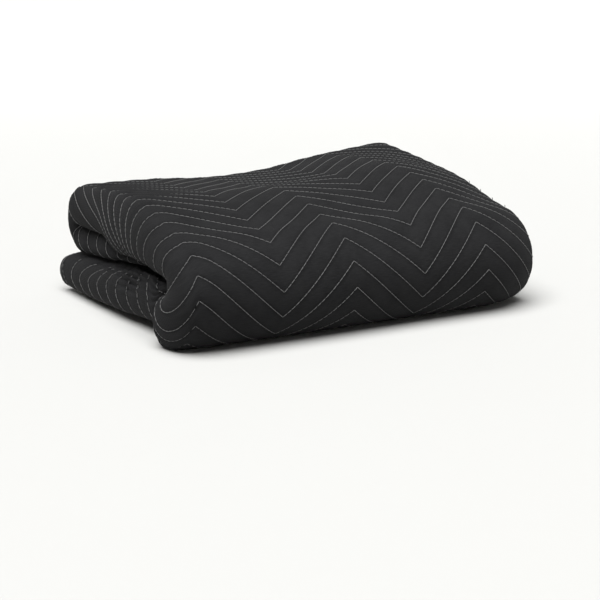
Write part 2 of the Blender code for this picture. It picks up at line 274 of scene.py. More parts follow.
THIRDS = [
    (LEFT_FLAP_RUN, None, 0.0),
    (EASE_ARC, LEFT_FLAP_EASE, LEFT_FLAP_SLOPE),
    (SLOPE_RUN, None, 0.0),
    (LEFT_ARC, END_BEND, -math.pi - LEFT_FLAP_SLOPE),
    (MIDDLE_THIRD, None, 0.0),
    (RIGHT_ARC, END_BEND, -math.pi),
    (RIGHT_FLAP, None, 0.0),
]
LEFT_FLAP_EDGE = LEFT_X + SLOPE_REACH + LEFT_FLAP_RUN
MIDDLE_START = LEFT_FLAP + LEFT_ARC
MIDDLE_END = MIDDLE_START + MIDDLE_THIRD
RIGHT_BEND_END = MIDDLE_END + RIGHT_ARC
FIRST_CORNER = MIDDLE_START + FIRST_CORNER_X - LEFT_X

# The fold in quarters, measured on the strip's outer face
ROLL_RADIUS = (PILE_HEIGHT - STRIP) / 2
FOLD_RADIUS = STRIP_STEP / 2
ROLL_ARC = math.pi * (ROLL_RADIUS + STRIP / 2)
BACK_ARC = math.pi * (FOLD_RADIUS + STRIP / 2)
INNER_ARC = math.pi * (FOLD_RADIUS - STRIP / 2)
RUN = (PAD_LENGTH - ROLL_ARC - BACK_ARC - INNER_ARC - 2 * HEM_OVERHANG) / 4
END_RUN = RUN + HEM_OVERHANG
QUARTERS = [
    (END_RUN, None, 0.0),
    (ROLL_ARC, ROLL_RADIUS, -math.pi),
    (RUN, None, 0.0),
    (BACK_ARC, FOLD_RADIUS, -math.pi),
    (RUN, None, 0.0),
    (INNER_ARC, FOLD_RADIUS, math.pi),
    (END_RUN, None, 0.0),
]
PILE_WIDTH = RUN + ROLL_RADIUS + STRIP / 2 + FOLD_RADIUS + STRIP / 2
ROLL_Y = -PILE_WIDTH / 2 + ROLL_RADIUS + STRIP / 2
ROLL_START = END_RUN
ROLL_END = ROLL_START + ROLL_ARC
TOP_END = ROLL_END + RUN
BACK_END = TOP_END + BACK_ARC
INNER_START = BACK_END + RUN
INNER_END = INNER_START + INNER_ARC


def fold_in_thirds(u, rise):
    """A point of the cloth at u, rise above its middle: its x, and its place across the strip."""
    x, level, heading = walk(THIRDS, (LEFT_FLAP_EDGE, 0.0), math.pi, u)
    return x - rise * math.sin(heading), level + rise * math.cos(heading)


def fold_in_quarters(v, level):
    """A point of the strip at v, level above its middle: its y and z in the pile."""
    y, z, heading = walk(QUARTERS, (ROLL_Y + END_RUN, STRIP / 2), math.pi, v)
    return y - level * math.sin(heading), z + level * math.cos(heading)


def between(stations, place):
    """The two stations on either side of a place, and how far it lies between them."""
    place = min(stations[-1], max(stations[0], place))
    after = next(i for i in range(1, len(stations)) if place <= stations[i])
    start, end = stations[after - 1], stations[after]
    return after - 1, after, smooth((place - start) / (end - start))


def slope_at(stations, values, i):
    """Slope at a station of the smooth curve through all of them."""
    before, after = max(0, i - 1), min(len(stations) - 1, i + 1)
    return (values[after] - values[before]) / (stations[after] - stations[before])


def on_curve(stations, values, place):
    """Value at a place on the smooth curve through the stations' values."""
    place = min(stations[-1], max(stations[0], place))
    after = next(i for i in range(1, len(stations)) if place <= stations[i])
    before = after - 1
    run = stations[after] - stations[before]
    share = (place - stations[before]) / run
    start = values[before] + slope_at(stations, values, before) * run * share
    end = values[after] - slope_at(stations, values, after) * run * (1 - share)
    return start + (end - start) * smooth(share)


HEIGHT_PLACES = [row[0] for row in HEIGHT_STATIONS]
HEIGHT_COUNT = len(HEIGHT_STATIONS[0]) - 1
HEIGHT_ENDS = [STRIP_LENGTH * (i / (HEIGHT_COUNT - 1) - 0.5) for i in range(HEIGHT_COUNT)]


def pile_height(x, y):
    """Height of the stored pile over a point of the floor, between the table's stations."""
    heights = [on_curve(HEIGHT_ENDS, row[1:], x) for row in HEIGHT_STATIONS]
    return on_curve(HEIGHT_PLACES, heights, y)


def at_left_end(x):
    """Share of the left end's beads at a place along the pile."""
    return smooth((-x - STRIP_LENGTH / 2 + LEFT_REACH) / LEFT_REACH)


def left_beads(y):
    """The tops of the beads, how far they stand in, and how far their middle is raised."""
    before, after, share = between([row[0] for row in LEFT_BEADS], y)
    row = [a + (b - a) * share for a, b in zip(LEFT_BEADS[before][1:], LEFT_BEADS[after][1:])]
    return row[:3] + [1.0], row[3:7], row[7]


def bead_shift(v, stands_in):
    """How far the layers at v stand in at the left end, eased from bead to bead."""
    first, second, third, fourth = stands_in
    shift = first + (fourth - first) * smooth((v - ROLL_START) / ROLL_ARC)
    shift += (third - fourth) * smooth((v - TOP_END) / BACK_ARC)
    return shift + (second - third) * smooth((v - INNER_START) / INNER_ARC)


def bead_height(z, tops):
    """Height in the even pile turned into height among the left end's beads."""
    bottom, bottom_share = 0.0, 0.0
    for i, share in enumerate(tops):
        top = (i + 1) * STRIP_STEP - LAYER_GAP / 2
        if z <= top or i == len(tops) - 1:
            break
        bottom, bottom_share = top, share
    top = min(top, PILE_HEIGHT)
    inside = (z - bottom) / (top - bottom)
    return (bottom_share + (share - bottom_share) * inside) * PILE_HEIGHT


def crowd(y, z, tops, share):
    """Crowd the layers at the left end: upward behind the front roll's middle, round it before."""
    if y >= ROLL_Y:
        return y, z + (bead_height(z, tops) - z) * share
    across, up = y - ROLL_Y, z - PILE_HEIGHT / 2
    out = math.hypot(across, up)
    if out < SAME_PLACE:
        return y, z
    crowded = bead_height(PILE_HEIGHT / 2 + out, tops) - PILE_HEIGHT / 2
    scale = 1 + (crowded / out - 1) * share
    return ROLL_Y + across * scale, PILE_HEIGHT / 2 + up * scale


def corner_pull(x, y):
    """How far back the front roll turns at its two ends."""
    right = max(0.0, (x - STRIP_LENGTH / 2 + CORNER_REACH) / CORNER_REACH)
    left = max(0.0, (-x - STRIP_LENGTH / 2 + LEFT_CORNER_REACH) / LEFT_CORNER_REACH)
    from_front = 1.0 - smooth((y + PILE_WIDTH / 2) / CORNER_DEPTH)
    return (CORNER_PULL * right ** 2 + LEFT_CORNER_PULL * left ** 2) * from_front


def settle(x, y, z, v):
    """Turn the even pile into the uneven one that lies on the floor."""
    tops, stands_in, raised = left_beads(y)
    x += bead_shift(v, stands_in) * at_left_end(x)
    y, z = crowd(y, z, tops, at_left_end(x))
    share = z / PILE_HEIGHT
    share += 4 * raised * at_left_end(x) * share * (1 - share)
    slope = smooth((-x - STRIP_LENGTH / 2 + SHOULDER_REACH) / SHOULDER_REACH)
    z = share * pile_height(x, y) - SHOULDER * slope * share ** 2
    x += END_WANDER * math.sin(END_WAVE * y + END_WAVE_START) * share
    return x, y + corner_pull(x, y) + FRONT_WANDER * math.sin(FRONT_WAVE * x), z


def zigzag(u):
    """How far a row of stitches lies from its middle line, with corners at even steps."""
    turn = (u - FIRST_CORNER) / ZIGZAG_PERIOD
    triangle = 4.0 * abs(turn - math.floor(turn + 0.5)) - 1.0
    return -ZIGZAG_HEIGHT / 2 * triangle


def to_stitch(u, v):
    """Distance of a place on the cloth from the nearest row of stitches."""
    steps = (v - zigzag(u) - FIRST_ROW) / ROW_STEP
    return abs(steps - round(steps)) * ROW_STEP * ARM_COSINE


def hem_wander(u, v):
    """The hems at the back don't lie exactly over each other."""
    first = 1.0 - smooth(v / END_RUN)
    last = smooth((v - INNER_END) / END_RUN)
    first_wave = math.sin(FIRST_HEM_WAVE * u)
    last_wave = math.sin(LAST_HEM_WAVE * u + LAST_HEM_START)
    return HEM_WANDER * (first * first_wave + last * last_wave)


def on_line(stations, values, place):
    """Value at a place on straight lines between the stations' values."""
    place = min(stations[-1], max(stations[0], place))
    after = next(i for i in range(1, len(stations)) if place <= stations[i])
    share = (place - stations[after - 1]) / (stations[after] - stations[after - 1])
    return values[after - 1] + (values[after] - values[after - 1]) * share


SLIDE_ROWS, SLIDE_LENGTHS, SLIDE_EASES = zip(*SLIDES)
LOWER_PLACES, LOWER_LENGTHS = zip(*LOWER_SLIDES)


def slide(u, v):
    """How far the cloth at the left end slides along the strip."""
    if not LEFT_FLAP - SLIDE_FADES < u < MIDDLE_START + LOWER_SLIDE_EASE:
        return 0.0
    past = MIDDLE_START + SLIDE_STARTS - u
    if v > INNER_END:
        shown = smooth((past + LOWER_SLIDE_EASE) / LOWER_SLIDE_EASE)
        shown *= 1 - smooth(past / LOWER_SLIDE_EASE)
        return on_line(LOWER_PLACES, LOWER_LENGTHS, v - INNER_END) * shown
    row = (v - zigzag(u) - FIRST_ROW) / ROW_STEP
    whole = on_line(SLIDE_ROWS, SLIDE_LENGTHS, row)
    shown = smooth(past / on_line(SLIDE_ROWS, SLIDE_EASES, row))
    return whole * shown * smooth((u - LEFT_FLAP + SLIDE_FADES) / SLIDE_FADES)


def cloth_point(u, v, side, relief=0.0):
    """A point of the cloth's outer face (side 1) or inner face (side -1) in the stored pad."""
    edge = min(u, PAD_WIDTH - u, v, PAD_LENGTH - v)
    thickness = HEM_THICKNESS + (THICKNESS - HEM_THICKNESS) * smooth(edge / HEM_WIDTH)
    x, level = fold_in_thirds(u, side * thickness / 2 + relief)
    v += slide(u, v)
    y, z = fold_in_quarters(v, level)
    if v < ROLL_START or v > INNER_END:
        y += hem_wander(u, v)
    return settle(x, y, z, v)


def outside(u, v):
    """Share of a place of the outer face that lies outside the pile: in a bead or on the roll."""
    left_bead = smooth((u - LEFT_FLAP) / BEAD_SHOWS)
    left_bead *= smooth((MIDDLE_START + BEAD_SHOWS - u) / BEAD_SHOWS)
    right_bead = smooth((RIGHT_BEND_END - u) / BEAD_SHOWS)
    right_bead *= smooth((u - MIDDLE_END + BEAD_SHOWS) / BEAD_SHOWS)
    bend = smooth((u - LEFT_FLAP) / LEFT_ARC) * smooth((RIGHT_BEND_END - u) / RIGHT_ARC)
    wrapped = smooth((v - ROLL_START) / RELIEF_EASE) * smooth((BACK_END - v) / RELIEF_EASE)
    return max(left_bead, right_bead, bend * wrapped)


def gathers(u, x, y, z):
    """How deep the nipped cloth folds in near the crease at the left end."""
    depth = 0.0
    for middle_y, middle_z, along, up, spacing, slant, deepest in GATHERS:
        off_y, off_z = y - middle_y, z - middle_z
        near = math.exp(-(off_y / along) ** 2 - (off_z / up) ** 2)
        wave = math.sin(2 * math.pi * (u - MIDDLE_START - slant * off_y) / spacing)
        depth += deepest * near * (0.5 - 0.5 * wave)
    return depth * smooth((GATHERS_FROM_X - x) / GATHERS_EASE)


def relief(u, v):
    """How far the outer face is raised: padding between the stitches, a pull at each, gathers."""
    x, y, z = cloth_point(u, v, 1)
    distance = to_stitch(u, v)
    padding = PADDING_CREST * smooth(distance / (ROW_STEP * ARM_COSINE / 2))
    pull = STITCH_PULL * math.exp(-distance / PULL_REACH) * follows(v - zigzag(u))
    nip = 0.0 if BACK_END < v < INNER_START else gathers(u, x, y, z)
    return (padding - pull - nip) * outside(u, v) * smooth(z / FLOOR_EASE)


def stretch(start, end, count):
    """Even steps over a stretch, without its start."""
    return [start + (end - start) * i / count for i in range(1, count + 1)]


def paced(start, end, step):
    """Steps of about a length over a stretch, without its start."""
    return stretch(start, end, max(1, round((end - start) / step)))


def plain_rows(step):
    """Rows that lie over each other in every layer, with a hem at both ends."""
    rows = [0.0, HEM_WIDTH / 2, HEM_WIDTH]
    rows += paced(HEM_WIDTH, ROLL_START, step)
    rows += paced(ROLL_START, ROLL_END, min(step, ROLL_ARC / ROLL_STEPS))
    rows += paced(ROLL_END, TOP_END, step)
    rows += stretch(TOP_END, BACK_END, 2 * FOLD_STEPS)
    rows += paced(BACK_END, INNER_START, step)
    rows += stretch(INNER_START, INNER_END, FOLD_STEPS)
    rows += paced(INNER_END, PAD_LENGTH - HEM_WIDTH, step)
    return rows + [PAD_LENGTH - HEM_WIDTH / 2, PAD_LENGTH]


def quilted_rows(stretches):
    """Rows of the mesh that run along the stitches, close together beside them."""
    steps = range(-int(FIRST_ROW / ROW_STEP), int((PAD_LENGTH - FIRST_ROW) / ROW_STEP))
    rows = [FIRST_ROW + ROW_STEP * (i + share) for i in steps for share in ROW_SHARES]
    return [row for row in rows if any(start < row < end for start, end in stretches)]


def rows_at(u):
    """Rows of the outer face in a column: few where it is hidden, many where it shows."""
    plain = plain_rows(PLAIN_ROW)
    if not LEFT_FLAP < u < RIGHT_BEND_END:
        return plain
    if MIDDLE_START + BEAD_SHOWS < u < MIDDLE_END - BEAD_SHOWS:
        stretches = [(ROLL_START - HIDDEN_ROWS, BACK_END)]
    else:
        clear = ROW_STEP / 2
        stretches = [
            (HEM_WIDTH + clear, INNER_START - clear),
            (INNER_END + clear, PAD_LENGTH - HEM_WIDTH - clear),
        ]
    rows = quilted_rows(stretches)
    gap = ROW_STEP / 8
    for row in plain:
        if not any(start - gap < row < end + gap for start, end in stretches):
            rows.append(row)
    return sorted(rows)


def follows(row):
    """Share of the zigzag that a row of the mesh follows: none at the hems and in the tight fold."""
    from_hem = smooth(min(row, PAD_LENGTH - row) / ROW_EASE)
    return from_hem * smooth((abs(row - (INNER_START + INNER_END) / 2) - INNER_ARC) / ROW_EASE)


def row_place(u, row):
    """Where a row of the mesh lies on the cloth: it follows the zigzag where that shows."""
    from_left = smooth((u - LEFT_FLAP + FLAP_EASE) / FLAP_EASE)
    from_right = smooth((RIGHT_BEND_END + FLAP_EASE - u) / FLAP_EASE)
    return row + zigzag(u) * follows(row) * from_left * from_right


def columns(fine):
    """Columns of a face: fine ones stand at even shares of the zigzag, with one at each corner."""
    step = ZIGZAG_PERIOD / COLUMNS_PER_PERIOD * (1 if fine else COARSE_COLUMNS)
    coarser = 1 if fine else COARSE_BEND
    places = [0.0, HEM_WIDTH / 2, HEM_WIDTH]
    places += paced(HEM_WIDTH, LEFT_FLAP - FLAP_EASE, FLAP_COLUMN)
    places += paced(LEFT_FLAP - FLAP_EASE, LEFT_FLAP_RUN, NEAR_COLUMN)
    places += stretch(LEFT_FLAP_RUN, LEFT_FLAP, SLOPE_STEPS)
    places += stretch(LEFT_FLAP, MIDDLE_START, LEFT_BEND_STEPS // coarser)
    first = math.ceil((MIDDLE_START + step / 4 - FIRST_CORNER) / step)
    last = math.floor((MIDDLE_END - step / 4 - FIRST_CORNER) / step)
    places += [FIRST_CORNER + step * i for i in range(first, last + 1)]
    places.append(MIDDLE_END)
    places += stretch(MIDDLE_END, RIGHT_BEND_END, RIGHT_BEND_STEPS // coarser)
    places += paced(RIGHT_BEND_END, RIGHT_BEND_END + FLAP_EASE, NEAR_COLUMN)
    places += paced(RIGHT_BEND_END + FLAP_EASE, PAD_WIDTH - HEM_WIDTH, FLAP_COLUMN)
    return places + [PAD_WIDTH - HEM_WIDTH / 2, PAD_WIDTH]


def zip_lines(bm, first, second):
    """Fill the band between two lines of (key, vertex) pairs whose steps may differ."""
    i = j = 0
    while i < len(first) - 1 or j < len(second) - 1:
        next_first = first[i + 1][0] if i < len(first) - 1 else math.inf
        next_second = second[j + 1][0] if j < len(second) - 1 else math.inf
        if abs(next_first - next_second) < SAME_PLACE:
            bm.faces.new((first[i][1], second[j][1], second[j + 1][1], first[i + 1][1]))
            i += 1
            j += 1
        elif next_first < next_second:
            bm.faces.new((first[i][1], second[j][1], first[i + 1][1]))
            i += 1
        else:
            bm.faces.new((first[i][1], second[j][1], second[j + 1][1]))
            j += 1


def shift_to_frame():
    """What brings the pile's right end and its middle over the frame's."""
    low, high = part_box("quilted_pad")
    points = [
        cloth_point(u, v, 1)
        for u in paced(LEFT_FLAP, RIGHT_BEND_END, NEAR_COLUMN)
        for v in paced(0.0, PAD_LENGTH, NEAR_COLUMN)
    ]
    right = max(point[0] for point in points)
    middle = (min(point[1] for point in points) + max(point[1] for point in points)) / 2
    return Vector((high[0] - right, (low[1] + high[1]) / 2 - middle, 0.0))


SHIFT = shift_to_frame()


def placed(u, v, side, rise=0.0):
    """A point of the stored pad in the frame, no lower than the floor."""
    point = Vector(cloth_point(u, v, side, rise)) + SHIFT
    point.z = max(0.0, point.z)
    return point


def face_lines(bm, side, layer):
    """One face of the cloth, as columns of (row, vertex) pairs."""
    lines = []
    for u in columns(side > 0):
        line = []
        for row in rows_at(u) if side > 0 else plain_rows(PLAIN_ROW):
            v = row_place(u, row) if side > 0 else row
            vert = bm.verts.new(placed(u, v, side, relief(u, v) if side > 0 else 0.0))
            vert[layer] = Vector((u, v, side))
            line.append((row, vert))
        lines.append((u, line))
    return lines


def edge_line(face, index):
    """The line of (u, vertex) pairs along the first or last row of a face."""
    return [(u, line[index][1]) for u, line in face]


def cover_mesh():
    """The folded cover as one closed mesh, with its flat places as a UV map in metres."""
    bm = bmesh.new()
    flat = bm.verts.layers.float_vector.new("flat_place")
    outer = face_lines(bm, 1, flat)
    inner = face_lines(bm, -1, flat)
    for (_, first), (_, second) in zip(outer, outer[1:]):
        zip_lines(bm, first, second)
    for (_, first), (_, second) in zip(inner, inner[1:]):
        zip_lines(bm, second, first)
    zip_lines(bm, inner[0][1], outer[0][1])
    zip_lines(bm, outer[-1][1], inner[-1][1])
    zip_lines(bm, edge_line(outer, 0), edge_line(inner, 0))
    zip_lines(bm, edge_line(inner, -1), edge_line(outer, -1))
    bmesh.ops.recalc_face_normals(bm, faces=bm.faces)
    cloth_map = bm.loops.layers.uv.new(CLOTH_MAP)
    for face in bm.faces:
        for loop in face.loops:
            loop[cloth_map].uv = loop.vert[flat].xy
    mesh = bpy.data.meshes.new(COVER)
    bm.to_mesh(mesh)
    bm.free()
    mesh.shade_smooth()
    return mesh


def linear(colour):
    """An sRGB hex colour as linear red, green, blue and alpha."""
    values = [int(colour[i:i + 2], 16) / 255 for i in (1, 3, 5)]
    return (*[v / 12.92 if v <= 0.04045 else ((v + 0.055) / 1.055) ** 2.4 for v in values], 1.0)


def add_node(tree, kind, inputs=None, **settings):
    """Add a node with its settings. An input is a value, or the output that feeds it."""
    node = tree.nodes.new(kind)
    for name, value in settings.items():
        setattr(node, name, value)
    for key, value in (inputs or {}).items():
        if isinstance(value, bpy.types.NodeSocket):
            tree.links.new(value, node.inputs[key])
        else:
            node.inputs[key].default_value = value
    return node


def math_chain(tree, start, *steps):
    """Send a value through math nodes, each given as its operation and second value."""
    value = start
    for operation, second in steps:
        value = add_node(tree, "ShaderNodeMath", {0: value, 1: second}, operation=operation).outputs[0]
    return value


def new_material(name):
    """An empty node material with its output: the material and its tree."""
    material = bpy.data.materials.new(name)
    material.use_nodes = True
    material.node_tree.nodes.clear()
    return material, material.node_tree


# The cloth's patterns, in repeats a metre: slubs 11 mm long and 1.4 mm thick, blotches of 36 mm and
# # puckers of 6 mm. The puckers lie within 7 mm of a stitch, and so does the painted shade beside it.
SLUBS = (90.0, 700.0, 1.0)
BLOTCHES = 28.0
PUCKERS = 170.0
PUCKER_AND_SHADE_REACH = 0.007

# How much each pattern changes the cloth's tone, and how high it stands in metres. The darkening
# # within 7 mm of a stitch is painted shade in the stitch's dip.
SLUB_SHADE = 1.3
SHADE_START = 0.62
WEAVE_SHADE = 0.25
STITCH_PAINTED_SHADE = 0.5
WEAVE_HEIGHT = 0.00022
SLUB_HEIGHT = 0.0005
PUCKER_HEIGHT = 0.0018

# Blotches of the thread, in repeats a metre
THREAD_BLOTCHES = 60.0


def woven_cover_cloth(settings):
    """Woven cotton and polyester, dyed black: matt, with slubs, a faint nap, pulled stitches and painted
    shade beside each stitch.
    """
    material, tree = new_material("black_woven_cover_cloth")
    flat = add_node(tree, "ShaderNodeUVMap", uv_map=CLOTH_MAP)
    parts = add_node(tree, "ShaderNodeSeparateXYZ", {0: flat.outputs[0]})
    u, v = parts.outputs[0], parts.outputs[1]

    # Distance from the nearest row of stitches
    triangle = math_chain(tree, u, ("SUBTRACT", FIRST_CORNER), ("PINGPONG", ZIGZAG_PERIOD / 2))
    along = math_chain(tree, triangle, ("MULTIPLY", ARM_SLOPE), ("SUBTRACT", ZIGZAG_HEIGHT / 2), ("ADD", v))
    distance = math_chain(
        tree, along, ("SUBTRACT", FIRST_ROW), ("PINGPONG", ROW_STEP / 2), ("MULTIPLY", ARM_COSINE)
    )
    beside = add_node(
        tree, "ShaderNodeMapRange", {0: distance, 1: 0.0, 2: PUCKER_AND_SHADE_REACH, 3: 1.0, 4: 0.0},
        interpolation_type="SMOOTHSTEP",
    ).outputs[0]

    # The weave: warp and weft threads cross, drawn coarser than real ones so that they show
    warp = math_chain(tree, u, ("MULTIPLY", math.pi / settings.thread_spacing), ("SINE", 0.0))
    weft = math_chain(tree, v, ("MULTIPLY", math.pi / settings.thread_spacing), ("SINE", 0.0))
    weave = math_chain(tree, warp, ("MULTIPLY", weft), ("ABSOLUTE", 0.0))

    # Slubs: thicker lengths of the threads that run along the width
    slub_place = add_node(tree, "ShaderNodeMapping", {0: flat.outputs[0], 3: SLUBS})
    slubs = add_node(
        tree, "ShaderNodeTexNoise", {"Vector": slub_place.outputs[0], "Scale": 1.0, "Detail": 2.0},
        noise_dimensions="2D",
    )
    mottle = add_node(
        tree, "ShaderNodeTexNoise", {"Vector": flat.outputs[0], "Scale": BLOTCHES, "Detail": 4.0},
        noise_dimensions="2D",
    )
    pucker = add_node(
        tree, "ShaderNodeTexNoise", {"Vector": flat.outputs[0], "Scale": PUCKERS, "Detail": 2.0},
        noise_dimensions="2D",
    )
    dark = linear(settings.cloth_dark)
    light = linear(settings.cloth_light)
    share = math_chain(
        tree, slubs.outputs[0], ("MULTIPLY", SLUB_SHADE), ("ADD", mottle.outputs[0]),
        ("SUBTRACT", SHADE_START), ("ADD", math_chain(tree, weave, ("MULTIPLY", WEAVE_SHADE))),
    )
    # Painted shade: the cloth is darkened beside each row of stitches, where the stitch dips into it.
    share = math_chain(tree, share, ("SUBTRACT", math_chain(tree, beside, ("MULTIPLY", STITCH_PAINTED_SHADE))))
    colour = add_node(tree, "ShaderNodeMix", {0: share, 6: dark, 7: light}, data_type="RGBA")

    height = math_chain(tree, weave, ("MULTIPLY", WEAVE_HEIGHT))
    height = math_chain(
        tree, height, ("ADD", math_chain(tree, slubs.outputs[0], ("MULTIPLY", SLUB_HEIGHT))),
        ("ADD", math_chain(tree, pucker.outputs[0], ("MULTIPLY", beside), ("MULTIPLY", PUCKER_HEIGHT))),
    )
    bump = add_node(tree, "ShaderNodeBump", {"Strength": 0.8, "Distance": 1.0, "Height": height})
    shader = add_node(
        tree, "ShaderNodeBsdfPrincipled",
        {
            "Base Color": colour.outputs[2],
            "Roughness": 0.88,
            "Specular IOR Level": 0.12,
            "Sheen Weight": 0.03,
            "Sheen Roughness": 0.5,
            "Sheen Tint": linear(settings.cloth_light),
            "Normal": bump.outputs[0],
        },
    )
    add_node(tree, "ShaderNodeOutputMaterial", {"Surface": shader.outputs[0]})
    return material


def spun_thread(settings):
    """Spun polyester sewing thread, grey: a little shinier than the cloth."""
    material, tree = new_material("grey_spun_thread")
    place = add_node(tree, "ShaderNodeTexCoord")
    fuzz = add_node(
        tree, "ShaderNodeTexNoise",
        {"Vector": place.outputs["Object"], "Scale": THREAD_BLOTCHES, "Detail": 3.0},
    )
    colour = add_node(
        tree, "ShaderNodeMix",
        {0: fuzz.outputs[0], 6: linear(settings.thread_dark), 7: linear(settings.thread_light)},
        data_type="RGBA",
    )
    shader = add_node(
        tree, "ShaderNodeBsdfPrincipled",
        {"Base Color": colour.outputs[2], "Roughness": 0.6, "Specular IOR Level": 0.35},
    )
    add_node(tree, "ShaderNodeOutputMaterial", {"Surface": shader.outputs[0]})
    return material


def stitch_tree(material):
    """Geometry Nodes that sew a line: one stitch after another, dipping into the cloth."""
    tree = bpy.data.node_groups.new("lockstitch", "GeometryNodeTree")
    tree.interface.new_socket("Line", in_out="INPUT", socket_type="NodeSocketGeometry")
    for name in ("Pitch", "Thread width", "Gap", "Dip"):
        tree.interface.new_socket(name, in_out="INPUT", socket_type="NodeSocketFloat")
    tree.interface.new_socket("Stitches", in_out="OUTPUT", socket_type="NodeSocketGeometry")
    given = add_node(tree, "NodeGroupInput").outputs

    # One stitch along X, bent down at both ends
    length = math_chain(tree, given["Pitch"], ("SUBTRACT", given["Gap"]))
    radius = math_chain(tree, given["Thread width"], ("DIVIDE", 2.0))
    rod = add_node(
        tree, "GeometryNodeMeshCylinder",
        {"Vertices": 5, "Side Segments": 4, "Radius": radius, "Depth": length},
        fill_type="NGON",
    )
    lying = add_node(
        tree, "GeometryNodeTransform", {"Geometry": rod.outputs[0], "Rotation": (0.0, math.pi / 2, 0.0)}
    )
    place = add_node(tree, "GeometryNodeInputPosition")
    x = add_node(tree, "ShaderNodeSeparateXYZ", {0: place.outputs[0]}).outputs[0]
    off_middle = math_chain(
        tree, x, ("DIVIDE", length), ("MULTIPLY", 2.0), ("ABSOLUTE", 0.0), ("POWER", 4.0)
    )
    dip = math_chain(tree, off_middle, ("MULTIPLY", given["Dip"]), ("MULTIPLY", -1.0))
    lower = add_node(tree, "ShaderNodeCombineXYZ", {2: dip})
    stitch = add_node(
        tree, "GeometryNodeSetPosition", {"Geometry": lying.outputs[0], "Offset": lower.outputs[0]}
    )

    # The places of the stitches, half a pitch in from each end of a line
    line = add_node(tree, "GeometryNodeMeshToCurve", {0: given["Line"]})
    spline_length = add_node(tree, "GeometryNodeSplineLength").outputs[0]
    half = math_chain(tree, given["Pitch"], ("DIVIDE", 2.0))
    end = math_chain(tree, spline_length, ("SUBTRACT", half))
    trim = add_node(tree, "GeometryNodeTrimCurve", mode="LENGTH")
    for socket in trim.inputs:
        if socket.enabled and socket.name == "Start":
            tree.links.new(half, socket)
        if socket.enabled and socket.name == "End":
            tree.links.new(end, socket)
    tree.links.new(line.outputs[0], trim.inputs[0])
    paces = add_node(
        tree, "GeometryNodeResampleCurve",
        {"Curve": trim.outputs[0], "Length": given["Pitch"]},
        mode="LENGTH",
    )
    tangent = add_node(tree, "GeometryNodeInputTangent")
    normal = add_node(
        tree, "GeometryNodeInputNamedAttribute", {"Name": "cloth_normal"}, data_type="FLOAT_VECTOR"
    )
    along = add_node(tree, "FunctionNodeAlignRotationToVector", {"Vector": tangent.outputs[0]}, axis="X")
    upright = add_node(
        tree, "FunctionNodeAlignRotationToVector",
        {"Rotation": along.outputs[0], "Vector": normal.outputs[0]},
        axis="Z", pivot_axis="X",
    )
    sewn = add_node(
        tree, "GeometryNodeInstanceOnPoints",
        {"Points": paces.outputs[0], "Instance": stitch.outputs[0], "Rotation": upright.outputs[0]},
    )
    real = add_node(tree, "GeometryNodeRealizeInstances", {0: sewn.outputs[0]})
    shaded = add_node(tree, "GeometryNodeSetShadeSmooth", {0: real.outputs[0]})
    finished = add_node(
        tree, "GeometryNodeSetMaterial", {"Geometry": shaded.outputs[0], "Material": material}
    )
    add_node(tree, "NodeGroupOutput", {0: finished.outputs[0]})
    return tree


def sewn_mesh(name, lines, settings, material):
    """Sew stitches along lines of (point, normal) pairs and return them as a plain mesh."""
    bm = bmesh.new()
    layer = bm.verts.layers.float_vector.new("cloth_normal")
    for line in lines:
        verts = []
        for point, normal in line:
            vert = bm.verts.new(point)
            vert[layer] = normal
            verts.append(vert)
        for pair in zip(verts, verts[1:]):
            bm.edges.new(pair)
    guide_mesh = bpy.data.meshes.new(name + "_guide")
    bm.to_mesh(guide_mesh)
    bm.free()
    guide = bpy.data.objects.new(name + "_guide", guide_mesh)
    bpy.context.scene.collection.objects.link(guide)
    tree = stitch_tree(material)
    modifier = guide.modifiers.new("Lockstitch", "NODES")
    modifier.node_group = tree
    sizes = {
        "Pitch": settings.stitch_pitch,
        "Thread width": settings.thread_width,
        "Gap": settings.stitch_gap,
        "Dip": settings.stitch_dip,
    }
    for item in tree.interface.items_tree:
        if item.name in sizes:
            modifier[item.identifier] = sizes[item.name]
    evaluated = guide.evaluated_get(bpy.context.evaluated_depsgraph_get())
    mesh = bpy.data.meshes.new_from_object(evaluated)
    mesh.name = name
    guide.modifiers.clear()
    bpy.data.objects.remove(guide)
    bpy.data.meshes.remove(guide_mesh)
    bpy.data.node_groups.remove(tree)
    return mesh


# How the thread lies on the cloth, and how finely its lines are drawn
THREAD_RISE = 0.0004
THREAD_DRAW = 0.0025
NORMAL_STEP = 0.0005
HEM_STITCH_INSET = 0.009

# How far the sewing keeps from the hidden flaps, from the roll's start and from the back bend's end
LEFT_FLAP_CLEAR = 0.004
RIGHT_FLAP_CLEAR = 0.002
ROLL_CLEAR = 0.02
BACK_CLEAR = 0.01

# How high over the floor the thread starts on the face, at the ends and along the hems
FACE_OFF_FLOOR = 0.003
END_OFF_FLOOR = 0.006
HEM_OFF_FLOOR = 0.004


def on_cover(u, v):
    """A point for thread on the outer face, and the cloth's normal there."""
    here = placed(u, v, 1, relief(u, v))
    along = placed(u + NORMAL_STEP, v, 1, relief(u, v)) - here
    across = placed(u, v + NORMAL_STEP, 1, relief(u, v)) - here
    normal = along.cross(across)
    out = placed(u, v, 1, relief(u, v) + NORMAL_STEP) - here
    if normal.dot(out) < 0:
        normal.negate()
    normal.normalize()
    return here + normal * THREAD_RISE, normal


def stitch_rows():
    """The middle line of every row of stitches that reaches the cloth between the hems."""
    first = math.ceil((HEM_WIDTH - ZIGZAG_HEIGHT / 2 - FIRST_ROW) / ROW_STEP)
    last = math.floor((PAD_LENGTH - HEM_WIDTH + ZIGZAG_HEIGHT / 2 - FIRST_ROW) / ROW_STEP)
    return [FIRST_ROW + ROW_STEP * i for i in range(first, last + 1)]


